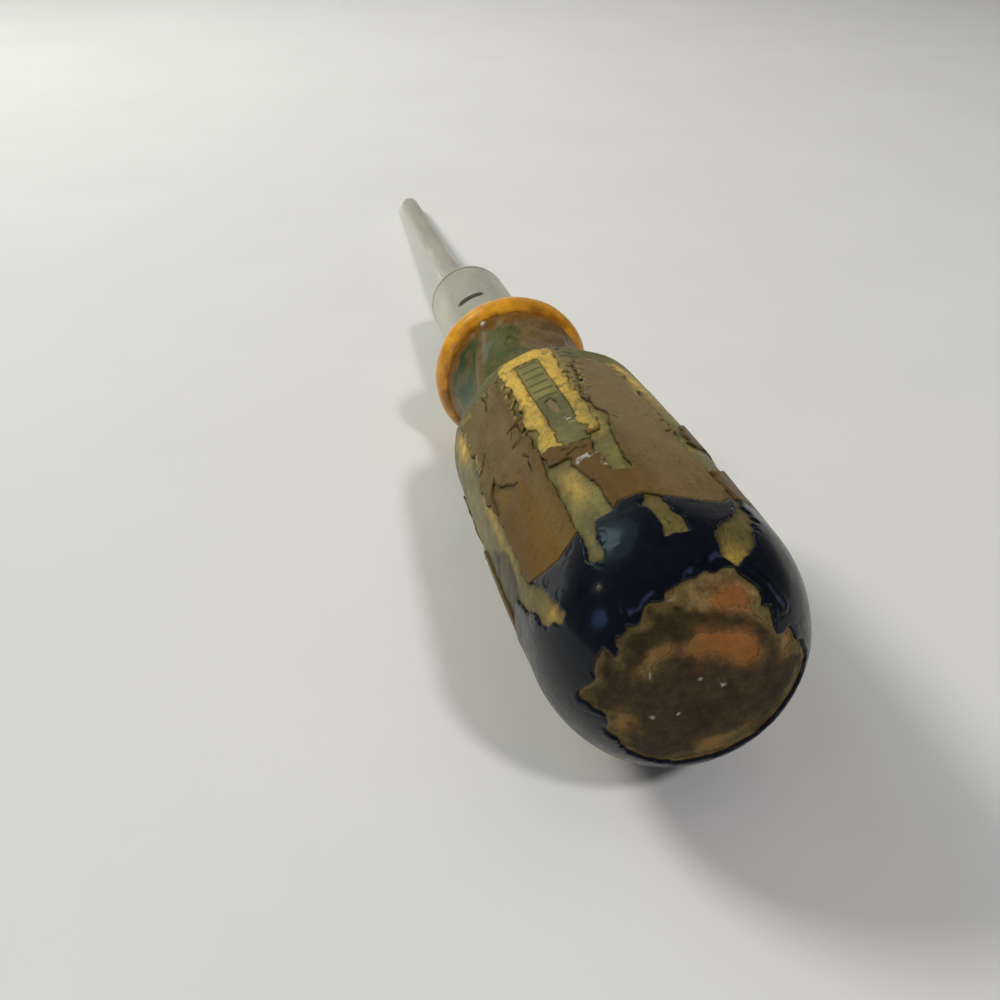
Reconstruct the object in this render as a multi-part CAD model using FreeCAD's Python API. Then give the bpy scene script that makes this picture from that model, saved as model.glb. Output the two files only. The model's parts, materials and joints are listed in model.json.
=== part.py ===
import FreeCAD, Part
import math
import os

from FreeCAD import Vector

# Fixed-blade screwdriver lying on its side, in millimetres.
# Each piece is first built about the tool's own axis: X runs from the butt (x = 0) to the point,
# r is the distance from that axis, and angles go round it from the top (+Z) towards -Y.
# The finished tool is then tipped nose down until its bead and its blade lie on the floor.

# Handle outline, over its coats
BUTT_FLAT_RADIUS = 6.8
DOME_LENGTH = 13.1
DOME_RADIUS = 15.6
BELLY_X = 33.0
BELLY_RADIUS = 16.0
SHOULDER_X = 59.3
SHOULDER_RADIUS = 15.8
SHOULDER_ROUND = 3.0
NECK_START_RADIUS = 11.0
NECK_X = 71.0
NECK_RADIUS = 9.5
NECK_END_RADIUS = 12.2

# Bead in front of the neck, bare of any coat
BEAD_BACK_X = 86.8
BEAD_BACK_RADIUS = 12.3
BEAD_X = 89.6
BEAD_RADIUS = 13.65
BEAD_FRONT_X = 92.6
BEAD_FRONT_RADIUS = 11.9

# Five flats along the grip, with round ridges between them
FLAT_COUNT = 5
FLAT_PITCH = 360.0 / FLAT_COUNT
FLAT_HALF_ANGLE = 18.5
FIRST_FLAT_ANGLE = 15.0
FLAT_DISTANCE = BELLY_RADIUS * math.cos(math.radians(FLAT_HALF_ANGLE))

# Coats, as depths below the outline at which each one begins
TOPCOAT_DEPTH = 0.0
UNDERCOAT_DEPTH = 0.3
PRIMER_DEPTH = 0.5
CORE_DEPTH = 0.7
BUTT_DIP_X = 14.3
GRIP_FILM_END_X = 58.8
GLAZE_START_X = SHOULDER_X + SHOULDER_ROUND - UNDERCOAT_DEPTH
BUTT_DIP_WEAR_RADIUS = 10.2
UNDERCOAT_WEAR_RADIUS = 9.6

# Label on the ridge between the last flat and the first
LABEL_ANGLE = FIRST_FLAT_ANGLE - FLAT_PITCH / 2.0
LABEL_HALF_ANGLE = 16.0
LABEL_START_X = 30.0
LABEL_END_X = 58.8
PANEL_HALF_ANGLE = 6.5
PANEL_START_X = 31.5
PANEL_END_X = 56.0

# Ferrule, a pressed steel cap over the handle's nose
FERRULE_RADIUS = 8.05
FERRULE_WALL = 0.8
FERRULE_ROUND = 2.0
FERRULE_FRONT_X = 132.5
NOSE_END_X = 130.0
SLOT_COUNT = 4
SLOT_X = 111.4
SLOT_WIDTH = 2.2
SLOT_ANGLE = -24.0
SLOT_HALF_ANGLE = 12.0
CRIMP_WIDTH = 5.0
CRIMP_DEPTH = 1.2
RIM_GROOVE_X = 129.4
RIM_GROOVE_WIDTH = 0.5
RIM_GROOVE_DEPTH = 0.3

# Blade, a 3/16 inch round bar that stands four inches out of the ferrule
SHANK_RADIUS = 2.38
BLADE_LENGTH = 101.6
POINT_X = FERRULE_FRONT_X + BLADE_LENGTH
POINT_RADIUS = 0.64
POINT_HALF_ANGLE = 13.25
TAPER_LENGTH = (SHANK_RADIUS - POINT_RADIUS) / math.tan(math.radians(POINT_HALF_ANGLE))
TAPER_X = POINT_X - TAPER_LENGTH
CROSS_COUNT = 4
CROSS_ROOT_RADIUS = 0.36
CROSS_LENGTH = 9.2
TANG_RADIUS = 1.9
TANG_END_X = 42.0
WING_X = 46.0
WING_LENGTH = 10.0
WING_SPAN = 9.0
WING_THICKNESS = 1.4

AXIS = Vector(1, 0, 0)
ORIGIN = Vector(0, 0, 0)
REACH = 40.0


def at(x, r):
    """A point of an outline: x along the tool, r out from its axis."""
    return Vector(x, 0, r)


def straight(points):
    """Edges that join the points in turn."""
    return [Part.LineSegment(a, b).toShape() for a, b in zip(points, points[1:])]


def spun(edges, degrees=360.0):
    """The solid that a closed outline sweeps about the tool's axis."""
    face = Part.Face(Part.Wire(Part.__sortEdges__(edges)))
    return face.revolve(ORIGIN, AXIS, degrees)


def turned(shape, degrees):
    """A copy of the shape, turned about the tool's axis from +Z towards -Y."""
    copy = shape.copy()
    copy.rotate(ORIGIN, AXIS, degrees)
    return copy


def sector(start_x, end_x, middle_angle, half_angle, inner_radius=0.0, outer_radius=REACH):
    """A block of the space round the axis, between two stations and two angles."""
    outline = straight([
        at(start_x, inner_radius),
        at(end_x, inner_radius),
        at(end_x, outer_radius),
        at(start_x, outer_radius),
        at(start_x, inner_radius),
    ])
    return turned(spun(outline, 2.0 * half_angle), middle_angle - half_angle)


def ring(start_x, end_x, inner_radius, outer_radius=REACH):
    """A full ring about the axis."""
    return spun(straight([
        at(start_x, inner_radius),
        at(end_x, inner_radius),
        at(end_x, outer_radius),
        at(start_x, outer_radius),
        at(start_x, inner_radius),
    ]))


def rod(start_x, end_x, radius):
    """A round bar along the axis."""
    return Part.makeCylinder(radius, end_x - start_x, at(start_x, 0), AXIS)


def grip_outline(depth):
    """Outline of the grip and neck, everywhere `depth` below the outer coat."""
    dome_centre = at(DOME_LENGTH, BUTT_FLAT_RADIUS)
    butt_edge = at(depth, BUTT_FLAT_RADIUS)
    dome_end = at(DOME_LENGTH, DOME_RADIUS - depth)
    dome = Part.ArcOfEllipse(Part.Ellipse(butt_edge, dome_end, dome_centre), 0, math.pi / 2)

    belly = at(BELLY_X, BELLY_RADIUS - depth)
    shoulder = at(SHOULDER_X, SHOULDER_RADIUS - depth)
    round_centre = at(SHOULDER_X, SHOULDER_RADIUS - SHOULDER_ROUND)
    round_radius = SHOULDER_ROUND - depth
    round_middle = round_centre + at(round_radius, round_radius) * math.sqrt(0.5)
    round_end = round_centre + at(round_radius, 0)

    neck_start = at(round_end.x, NECK_START_RADIUS - depth)
    neck_middle = at(NECK_X, NECK_RADIUS - depth)
    neck_end = at(BEAD_BACK_X, NECK_END_RADIUS - depth)

    edges = [
        dome.toShape(),
        Part.Arc(dome_end, belly, shoulder).toShape(),
        Part.Arc(shoulder, round_middle, round_end).toShape(),
        Part.Arc(neck_start, neck_middle, neck_end).toShape(),
    ]
    edges += straight([round_end, neck_start])
    edges += straight([neck_end, at(BEAD_BACK_X, 0), at(depth, 0), butt_edge])
    return edges


def grip_solid(depth):
    """The grip and neck with their five flats, everywhere `depth` below the outer coat."""
    solid = spun(grip_outline(depth))
    block = Part.makeBox(BEAD_BACK_X, REACH, REACH, Vector(0, -REACH / 2.0, FLAT_DISTANCE - depth))
    for index in range(FLAT_COUNT):
        solid = solid.cut(turned(block, FIRST_FLAT_ANGLE + index * FLAT_PITCH))
    return solid


def coat(outer_depth, inner_depth):
    """A film over the whole grip and neck, between two depths."""
    return grip_solid(outer_depth).cut(grip_solid(inner_depth))


def blade():
    """Round bar with a cross point in front and a winged tang inside the handle."""
    solid = spun(straight([
        at(TANG_END_X, 0),
        at(TANG_END_X, TANG_RADIUS),
        at(FERRULE_FRONT_X, TANG_RADIUS),
        at(FERRULE_FRONT_X, SHANK_RADIUS),
        at(TAPER_X, SHANK_RADIUS),
        at(POINT_X, POINT_RADIUS),
        at(POINT_X, 0),
        at(TANG_END_X, 0),
    ]))
    wings = Part.makeBox(
        WING_LENGTH,
        WING_SPAN,
        WING_THICKNESS,
        Vector(WING_X, -WING_SPAN / 2.0, -WING_THICKNESS / 2.0),
    )
    solid = solid.fuse(wings)

    side = 2.0 * SHANK_RADIUS
    slope = math.degrees(math.atan2(SHANK_RADIUS - CROSS_ROOT_RADIUS, CROSS_LENGTH))
    groove = Part.makeBox(2.0 * CROSS_LENGTH, side, side, Vector(-1.5 * CROSS_LENGTH, 0, 0))
    groove.rotate(ORIGIN, AXIS, 45.0)
    groove.rotate(ORIGIN, Vector(0, 1, 0), slope)
    groove.translate(at(POINT_X, CROSS_ROOT_RADIUS))
    for index in range(CROSS_COUNT):
        solid = solid.cut(turned(groove, 45.0 + 360.0 * index / CROSS_COUNT))
    return solid.removeSplitter()


def ferrule():
    """Steel cap with a rounded front, a hole for the blade, four crimp slots and a rim groove."""
    inner_radius = FERRULE_RADIUS - FERRULE_WALL
    inner_round = FERRULE_ROUND - FERRULE_WALL
    inner_front_x = FERRULE_FRONT_X - FERRULE_WALL
    centre = at(FERRULE_FRONT_X - FERRULE_ROUND, FERRULE_RADIUS - FERRULE_ROUND)
    diagonal = at(1, 1) * math.sqrt(0.5)
    edges = [
        Part.Arc(
            at(centre.x, FERRULE_RADIUS),
            centre + diagonal * FERRULE_ROUND,
            at(FERRULE_FRONT_X, centre.z),
        ).toShape(),
        Part.Arc(
            at(centre.x, inner_radius),
            centre + diagonal * inner_round,
            at(inner_front_x, centre.z),
        ).toShape(),
    ]
    edges += straight([
        at(centre.x, inner_radius),
        at(BEAD_FRONT_X, inner_radius),
        at(BEAD_FRONT_X, FERRULE_RADIUS),
        at(centre.x, FERRULE_RADIUS),
    ])
    edges += straight([
        at(FERRULE_FRONT_X, centre.z),
        at(FERRULE_FRONT_X, TANG_RADIUS),
        at(inner_front_x, TANG_RADIUS),
        at(inner_front_x, centre.z),
    ])
    solid = spun(edges)

    half_width = SLOT_WIDTH / 2.0
    slot = sector(SLOT_X - half_width, SLOT_X + half_width, 0.0, SLOT_HALF_ANGLE, SHANK_RADIUS)
    slot_end = Part.makeCylinder(half_width, REACH, at(SLOT_X, SHANK_RADIUS), Vector(0, 0, 1))
    for end_angle in (-SLOT_HALF_ANGLE, SLOT_HALF_ANGLE):
        slot = slot.fuse(turned(slot_end, end_angle))
    for index in range(SLOT_COUNT):
        solid = solid.cut(turned(slot, SLOT_ANGLE + 360.0 * index / SLOT_COUNT))

    rim_groove = ring(
        RIM_GROOVE_X,
        RIM_GROOVE_X + RIM_GROOVE_WIDTH,
        FERRULE_RADIUS - RIM_GROOVE_DEPTH,
    )
    return solid.cut(rim_groove)


def handle_core(blade_solid):
    """Amber core: grip and neck under their coats, bare bead, and the nose inside the ferrule."""
    bead_edges = [
        Part.Arc(
            at(BEAD_BACK_X, BEAD_BACK_RADIUS),
            at(BEAD_X, BEAD_RADIUS),
            at(BEAD_FRONT_X, BEAD_FRONT_RADIUS),
        ).toShape(),
    ]
    bead_edges += straight([
        at(BEAD_FRONT_X, BEAD_FRONT_RADIUS),
        at(BEAD_FRONT_X, 0),
        at(BEAD_BACK_X, 0),
        at(BEAD_BACK_X, BEAD_BACK_RADIUS),
    ])
    nose_radius = FERRULE_RADIUS - FERRULE_WALL
    nose = rod(BEAD_FRONT_X, NOSE_END_X, nose_radius)
    crimp = ring(
        SLOT_X - CRIMP_WIDTH / 2.0,
        SLOT_X + CRIMP_WIDTH / 2.0,
        nose_radius - CRIMP_DEPTH,
    )
    core = grip_solid(CORE_DEPTH).fuse([spun(bead_edges), nose.cut(crimp)])
    return core.removeSplitter().cut(blade_solid)


def grip_films(topcoat):
    """One brown film lying on each flat, from the butt's coat to the shoulder."""
    films = {}
    for index in range(FLAT_COUNT):
        angle = FIRST_FLAT_ANGLE + index * FLAT_PITCH
        place = sector(BUTT_DIP_X, GRIP_FILM_END_X, angle, FLAT_HALF_ANGLE)
        films["flute_film_%d" % (index + 1)] = topcoat.common(place)
    return films


def tipped(pieces):
    """The pieces, tipped nose down onto the floor, with the origin under the middle of their box."""
    drop = BEAD_RADIUS - SHANK_RADIUS
    tilt = math.degrees(math.atan2(drop, TAPER_X - BEAD_X))
    for shape in pieces.values():
        shape.rotate(ORIGIN, Vector(0, 1, 0), tilt)
    box = Part.makeCompound(list(pieces.values())).optimalBoundingBox(False, False)
    to_origin = Vector(-box.Center.x, -box.Center.y, -box.ZMin)
    for shape in pieces.values():
        shape.translate(to_origin)
    return pieces


def screwdriver():
    """Every piece of the tool by name, where it lies."""
    topcoat = coat(TOPCOAT_DEPTH, UNDERCOAT_DEPTH)
    undercoat = coat(UNDERCOAT_DEPTH, PRIMER_DEPTH).common(rod(0, GLAZE_START_X, REACH))
    neck_glaze = coat(TOPCOAT_DEPTH, PRIMER_DEPTH).common(rod(GLAZE_START_X, BEAD_BACK_X, REACH))
    blade_solid = blade()
    panel = sector(PANEL_START_X, PANEL_END_X, LABEL_ANGLE, PANEL_HALF_ANGLE)
    label = sector(LABEL_START_X, LABEL_END_X, LABEL_ANGLE, LABEL_HALF_ANGLE)

    pieces = {
        "blade_shank": blade_solid,
        "ferrule": ferrule(),
        "handle_core": handle_core(blade_solid),
        "primer_coat": coat(PRIMER_DEPTH, CORE_DEPTH),
        "undercoat": undercoat.cut(rod(-REACH, DOME_LENGTH / 2.0, UNDERCOAT_WEAR_RADIUS)),
        "butt_dip": topcoat.common(ring(-REACH, BUTT_DIP_X, BUTT_DIP_WEAR_RADIUS)),
        "neck_glaze": neck_glaze,
        "label_border": topcoat.common(label).cut(panel),
        "label_panel": topcoat.common(panel),
    }
    pieces.update(grip_films(topcoat))
    return tipped(pieces)


os.makedirs("parts", exist_ok=True)
for name, shape in screwdriver().items():
    print(name, "valid" if shape.isValid() else "NOT VALID", len(shape.Solids), round(shape.Volume, 2))
    shape.exportStep(os.path.join("parts", name + ".step"))
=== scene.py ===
from functools import partial
import json
import math

import bpy
import numpy as np
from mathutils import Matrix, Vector


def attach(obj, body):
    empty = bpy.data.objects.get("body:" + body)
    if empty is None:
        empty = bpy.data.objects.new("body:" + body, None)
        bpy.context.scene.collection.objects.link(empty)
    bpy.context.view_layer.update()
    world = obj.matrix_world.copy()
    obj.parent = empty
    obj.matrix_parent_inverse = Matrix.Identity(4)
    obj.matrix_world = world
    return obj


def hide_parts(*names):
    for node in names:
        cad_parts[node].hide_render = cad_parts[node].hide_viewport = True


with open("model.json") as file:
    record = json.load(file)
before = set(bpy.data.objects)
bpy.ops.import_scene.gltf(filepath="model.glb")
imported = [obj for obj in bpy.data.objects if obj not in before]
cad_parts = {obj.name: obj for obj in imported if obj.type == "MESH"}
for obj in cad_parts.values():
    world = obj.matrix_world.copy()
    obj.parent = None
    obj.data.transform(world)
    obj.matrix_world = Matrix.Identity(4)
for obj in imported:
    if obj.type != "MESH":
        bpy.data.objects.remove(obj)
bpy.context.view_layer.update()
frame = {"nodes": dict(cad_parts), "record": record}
MM = 0.001

# --- The tool's own frame ---
# x runs along the tool's axis from the butt, r out from the axis, and angles in degrees round it
# from the top towards -Y. Lengths are in millimetres until place() turns them into the row frame.
BUTT_FLAT_RADIUS = 6.8
DOME_LENGTH, DOME_RADIUS = 13.1, 15.6
BELLY_X, BELLY_RADIUS = 33.0, 16.0
SHOULDER_X, SHOULDER_RADIUS, SHOULDER_ROUND = 59.3, 15.8, 3.0
NECK_START_RADIUS = 11.0
NECK_X, NECK_RADIUS, NECK_END_RADIUS = 71.0, 9.5, 12.2
BEAD_BACK_X, BEAD_X, BEAD_FRONT_X = 86.8, 89.6, 92.6
BEAD_BACK_RADIUS, BEAD_RADIUS, BEAD_FRONT_RADIUS = 12.3, 13.65, 11.9
NOSE_RADIUS, NOSE_END_X = 7.25, 130.0
CRIMP_START_X, CRIMP_END_X, CRIMP_RADIUS = 108.9, 113.9, 6.05
TANG_RADIUS, TANG_END_X = 1.9, 42.0
POINT_X = 234.1
SHOULDER_FACE_X, SHOULDER_FACE_RADIUS = SHOULDER_X + SHOULDER_ROUND, SHOULDER_RADIUS - SHOULDER_ROUND
NOSE_START_X = BEAD_FRONT_X + 1

FLAT_COUNT, FLAT_HALF_ANGLE, FIRST_FLAT_ANGLE = 5, 18.5, 15.0
FLAT_PITCH = 360.0 / FLAT_COUNT
TOP_FLAT, RIGHT_FLAT, LEFT_FLAT, NEAR_FLAT = 0, 1, 3, 4
FLAT_DISTANCE = BELLY_RADIUS * math.cos(math.radians(FLAT_HALF_ANGLE))
RIDGE_SOFTNESS = 0.5
SHARP_ANGLE = 50  # faces that meet at more than this, in degrees, keep a sharp edge

# Depth of each coat's top below the topcoat's, and how far a film reaches into the one below it
UNDERCOAT_DEPTH, PRIMER_DEPTH, CORE_DEPTH = 0.3, 0.5, 0.7
EMBED = 0.05

mounts = {m["name"]: m for m in frame["record"]["mounts"]}
AXIS = np.array(mounts["cross_point"]["axis"], float)
AXIS /= np.linalg.norm(AXIS)
BUTT = np.array(mounts["cross_point"]["pos_m"], float) - AXIS * POINT_X * MM
UP = np.array([-AXIS[2], 0.0, AXIS[0]])
SIDE = np.array([0.0, -1.0, 0.0])


def tool_point(x, side, up):
    """A point of the row frame, in metres, from tool coordinates in millimetres."""
    return BUTT + (AXIS * x + SIDE * side + UP * up) * MM


def place(x, r, angle):
    """Row-frame points, in metres, for arrays of x, r and angle."""
    turn = np.radians(angle)
    side = (r * np.sin(turn))[:, None] * SIDE
    up = (r * np.cos(turn))[:, None] * UP
    return BUTT + (x[:, None] * AXIS + side + up) * MM


def unit(value):
    return np.clip(value, 0, 1)


def soft(value, low, high):
    """A smooth step from 0 at `low` to 1 at `high`."""
    t = unit((value - low) / (high - low))
    return t * t * (3 - 2 * t)


def linked(name, data):
    """A new object in the scene."""
    obj = bpy.data.objects.new(name, data)
    bpy.context.scene.collection.objects.link(obj)
    return obj


# --- Outlines, as (x, r) along their length ---
def arc_through(a, b, c, count):
    """Points of the circular arc from a through b to c."""
    (ax, ay), (bx, by), (cx, cy) = a, b, c
    d = 2 * (ax * (by - cy) + bx * (cy - ay) + cx * (ay - by))
    aa, bb, cc = ax * ax + ay * ay, bx * bx + by * by, cx * cx + cy * cy
    ux = (aa * (by - cy) + bb * (cy - ay) + cc * (ay - by)) / d
    uy = (aa * (cx - bx) + bb * (ax - cx) + cc * (bx - ax)) / d
    radius = math.hypot(ax - ux, ay - uy)
    start = math.atan2(ay - uy, ax - ux)
    sweep = (math.atan2(cy - uy, cx - ux) - start + math.pi) % (2 * math.pi) - math.pi
    t = start + sweep * np.linspace(0, 1, count)
    return np.stack([ux + radius * np.cos(t), uy + radius * np.sin(t)], 1)


class Outline:
    """An outline that is read by its own length, with normals for films to stand on."""

    def __init__(self, *stretches):
        points = np.concatenate(stretches)
        steps = np.hypot(*np.diff(points, axis=0).T)
        points = points[np.r_[True, steps > 1e-6]]
        self.points = points
        self.length = np.r_[0, np.cumsum(np.hypot(*np.diff(points, axis=0).T))]
        tangent = np.gradient(points, self.length, axis=0)
        tangent /= np.hypot(*tangent.T)[:, None]
        self.normal = np.stack([-tangent[:, 1], tangent[:, 0]], 1)

    def at(self, s, lift=0.0):
        x, r = (np.interp(s, self.length, self.points[:, i]) for i in (0, 1))
        nx, nr = (np.interp(s, self.length, self.normal[:, i]) for i in (0, 1))
        return x + nx * lift, r + nr * lift

    def reach(self, x):
        """Length along the outline at which it first gets to x."""
        return float(np.interp(x, np.maximum.accumulate(self.points[:, 0]), self.length))


def shoulder_face(count):
    return np.linspace((SHOULDER_FACE_X, SHOULDER_FACE_RADIUS), (SHOULDER_FACE_X, NECK_START_RADIUS), count)


def grip_outline():
    u = np.linspace(0, 1, 240) * math.pi / 2
    dome_x = DOME_LENGTH * (1 - np.cos(u))
    dome_r = BUTT_FLAT_RADIUS + (DOME_RADIUS - BUTT_FLAT_RADIUS) * np.sin(u)
    v = np.linspace(0, 1, 60) * math.pi / 2
    round_x = SHOULDER_X + SHOULDER_ROUND * np.sin(v)
    round_r = SHOULDER_RADIUS - SHOULDER_ROUND * (1 - np.cos(v))
    return Outline(
        np.linspace((0, 0), (0, BUTT_FLAT_RADIUS), 60),
        np.stack([dome_x, dome_r], 1),
        arc_through((DOME_LENGTH, DOME_RADIUS), (BELLY_X, BELLY_RADIUS), (SHOULDER_X, SHOULDER_RADIUS), 300),
        np.stack([round_x, round_r], 1),
        shoulder_face(30),
    )


def neck_outline():
    waist = (SHOULDER_FACE_X, NECK_START_RADIUS), (NECK_X, NECK_RADIUS), (BEAD_BACK_X, NECK_END_RADIUS)
    bead = (BEAD_BACK_X, BEAD_BACK_RADIUS), (BEAD_X, BEAD_RADIUS), (BEAD_FRONT_X, BEAD_FRONT_RADIUS)
    return Outline(shoulder_face(20), arc_through(*waist, 200), arc_through(*bead, 80))


GRIP = grip_outline()
NECK = neck_outline()
MM_PER_DEGREE = math.radians(1) * DOME_RADIUS


def flat_angle(index):
    return FIRST_FLAT_ANGLE + index * FLAT_PITCH


def on_grip(s, angle, lift):
    """(x, r) of the fluted grip, `lift` above its nominal surface, with softened ridges."""
    x, r = GRIP.at(s, lift)
    off = (angle - FIRST_FLAT_ANGLE + FLAT_PITCH / 2) % FLAT_PITCH - FLAT_PITCH / 2
    flat = (FLAT_DISTANCE + lift) / np.cos(np.radians(off))
    h = unit(0.5 + 0.5 * (flat - r) / RIDGE_SOFTNESS)
    return x, flat * (1 - h) + r * h - RIDGE_SOFTNESS * h * (1 - h)


def on_neck(s, angle, lift):
    return NECK.at(s, lift)


# --- Repeatable noise on points in millimetres ---
def lattice(ix, iy, iz, seed):
    """A fixed random value from -1 to 1 for each whole-number point."""
    n = ix * 73856093 ^ iy * 19349663 ^ iz * 83492791 ^ seed * 2654435761
    n = n & 0x7FFFFFFF
    n = (n ^ (n >> 13)) * 1274126177 & 0x7FFFFFFF
    n = (n ^ (n >> 16)) & 0xFFFF
    return n / 32767.5 - 1.0


def noise(p, scale, seed):
    """Smooth noise whose features are about `scale` millimetres across."""
    q = p / scale + 1000.0  # the whole numbers stay above nought
    i = np.floor(q).astype(np.int64)
    f = q - i
    f = f * f * f * (f * (f * 6 - 15) + 10)
    total = np.zeros(len(p))
    for dx in (0, 1):
        wx = f[:, 0] if dx else 1 - f[:, 0]
        for dy in (0, 1):
            wy = f[:, 1] if dy else 1 - f[:, 1]
            for dz in (0, 1):
                wz = f[:, 2] if dz else 1 - f[:, 2]
                total += wx * wy * wz * lattice(i[:, 0] + dx, i[:, 1] + dy, i[:, 2] + dz, seed)
    return total


def fractal(p, scale, seed):
    """Noise of three sizes, each half as large and half as strong as the last."""
    total = np.zeros(len(p))
    for octave in range(3):
        total += 0.5 ** octave * noise(p, scale / 2 ** octave, seed + octave)
    return total


def thin_line(value):
    """1 where the value is nought, falling quickly to 0 on both sides."""
    return unit(1 - np.abs(value) * 9)


# --- Shapes on the unrolled grip ---
def around(x, r, turn):
    """Points round the tool's axis, in millimetres, for the noise to be read at."""
    return np.stack([x, r * np.cos(turn), r * np.sin(turn)], 1)


class Spot:
    """Where a set of surface points lies: angle, length s along the outline, and unrolled places."""

    def __init__(self, outline, s, angle):
        self.s = s
        self.angle = (angle + 180) % 360 - 180
        self.x, self.r = outline.at(s)
        turn = np.radians(angle)
        self.solid = around(self.x, self.r, turn)
        self.butt = np.stack([s * np.sin(turn), s * np.cos(turn)], 1)

    def from_angle(self, angle):
        """Millimetres round the grip from an angle, the short way."""
        return ((self.angle - angle + 180) % 360 - 180) * MM_PER_DEGREE

    def unrolled(self, middle, corners):
        """The spots, and corners given as (angle, x), in millimetres across from an angle and along x."""
        flat = np.array([((angle - middle) * MM_PER_DEGREE, x) for angle, x in corners])
        return self.from_angle(middle), self.x, flat

    def noise(self, scale, seed, stretch=1.0):
        return noise(self.solid * (stretch, 1, 1), scale, seed)

    def fractal(self, scale, seed, stretch=1.0):
        return fractal(self.solid * (stretch, 1, 1), scale, seed)

    def crease(self, scale, seed, stretch=1.0):
        """Thin lines where smooth noise passes through nought: 1 on a line, 0 away from it."""
        return thin_line(self.noise(scale, seed, stretch))


def line_distance(px, py, starts, ends):
    """Distance from each point to the nearest of some straight lines."""
    best = np.full(px.shape, 1e9)
    for (ax, ay), (bx, by) in zip(starts, ends):
        ex, ey = bx - ax, by - ay
        t = unit(((px - ax) * ex + (py - ay) * ey) / (ex * ex + ey * ey))
        best = np.minimum(best, np.hypot(px - ax - t * ex, py - ay - t * ey))
    return best


def polygon_depth(px, py, corners):
    """How deep each point lies inside a polygon, in its own units: negative outside."""
    corners = np.asarray(corners, float)
    after = np.roll(corners, -1, axis=0)
    inside = np.zeros(px.shape, bool)
    for (ax, ay), (bx, by) in zip(corners, after):
        if ay != by:
            inside ^= ((ay > py) != (by > py)) & (px < (bx - ax) * (py - ay) / (by - ay) + ax)
    best = line_distance(px, py, corners, after)
    return np.where(inside, best, -best)


def patch(spot, corners):
    """Depth inside a patch whose corners are (angle, x)."""
    middle = sum(c[0] for c in corners) / len(corners)
    return polygon_depth(*spot.unrolled(middle, corners))


def butt_patch(spot, corners):
    """Depth inside a patch on the butt's end, whose corners are (side, up) along the surface."""
    return polygon_depth(*spot.butt.T, corners)


def closeness(spot, distances, width):
    """1 on a line, 0 at `width` from it, for the distances from some lines."""
    return np.maximum.reduce([np.zeros(len(spot.s))] + [1 - away / width for away in distances])


def near_lines(spot, lines, width):
    """Closeness to wandering lines whose corners are (angle, x)."""
    astray = 0.3 * spot.noise(0.9, 5) + 0.12 * spot.noise(0.4, 6)
    flattened = [spot.unrolled(line[0][0], line) for line in lines]
    distances = [line_distance(px + astray, py + astray, c[:-1], c[1:]) for px, py, c in flattened]
    return closeness(spot, distances, width)


def near_butt_lines(spot, lines, width):
    """The same for lines on the butt's end, whose corners are (side, up)."""
    astray = 0.5 * spot.noise(1.4, 7) + 0.15 * spot.noise(0.5, 8)
    px, py = spot.butt.T
    return closeness(spot, [line_distance(px + astray, py - astray, c[:-1], c[1:]) for c in lines], width)


def blob(spot, angle, x, half_angle, half_length):
    """A soft round spot: 1 at its middle, falling to nought."""
    u = spot.from_angle(angle) / (half_angle * MM_PER_DEGREE)
    v = (spot.x - x) / half_length
    return np.exp(-(u * u + v * v))


def union(*depths):
    return np.maximum.reduce(depths)


def less(depth, *holes):
    return np.minimum.reduce([depth] + [-hole for hole in holes])


def ragged(spot, amount, seed):
    """Uneven offset in millimetres for a torn edge: smooth in some stretches, jagged in others."""
    jagged = np.clip(0.6 + 1.1 * spot.noise(3.3, seed + 3), 0.3, 1.4)
    middling = 0.6 * jagged * spot.noise(0.83, seed + 1)
    small = 0.35 * jagged * spot.noise(0.37, seed + 2)
    return amount * (0.9 * spot.noise(1.9, seed) + middling + small)


# --- Where each coat is left ---
# The navy coat's edge round the grip, as (angle, x)
DIP_EDGE = [
    (-180, 15.5), (-120, 18.2), (-95, 18.2), (-80, 17.6), (-69, 15.8), (-60, 14.4), (-52, 13.6),
    (-44, 13.8), (-37, 14.5), (-30, 14.0), (-23, 14.0), (-19, 15.1), (-9, 15.1), (-2, 13.5),
    (6, 13.0), (14, 12.9), (23, 13.3), (30, 15.0), (60, 16.0), (100, 14.8), (140, 15.6), (180, 15.5),
]
# Where the navy coat is worn off the butt's end, as (side, up)
WORN_BUTT = [
    (-2.5, 12.9), (0.2, 13.6), (2.7, 13.8), (4.1, 12.8), (5.4, 11.5), (5.6, 10.0), (4.9, 8.9),
    (6.8, 9.1), (7.3, 7.4), (7.6, 6.2), (9.2, 6.1), (10.1, 4.4), (11.4, 3.2), (12.4, 0.6),
    (11.8, -2.0), (9.9, -4.6), (8.2, -7.0), (5.2, -8.7), (2.0, -9.5), (-2.0, -9.8), (-5.2, -9.3),
    (-8.3, -7.9), (-8.6, -6.1), (-10.1, -4.6), (-10.7, -2.3), (-12.2, -1.9), (-13.5, -0.6),
    (-13.3, 1.0), (-12.4, 2.5), (-11.9, 4.8), (-10.9, 5.8), (-9.5, 5.1), (-9.6, 7.0), (-8.5, 8.8),
    (-7.2, 9.6), (-6.4, 10.6), (-5.2, 10.8), (-4.5, 11.9),
]
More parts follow.
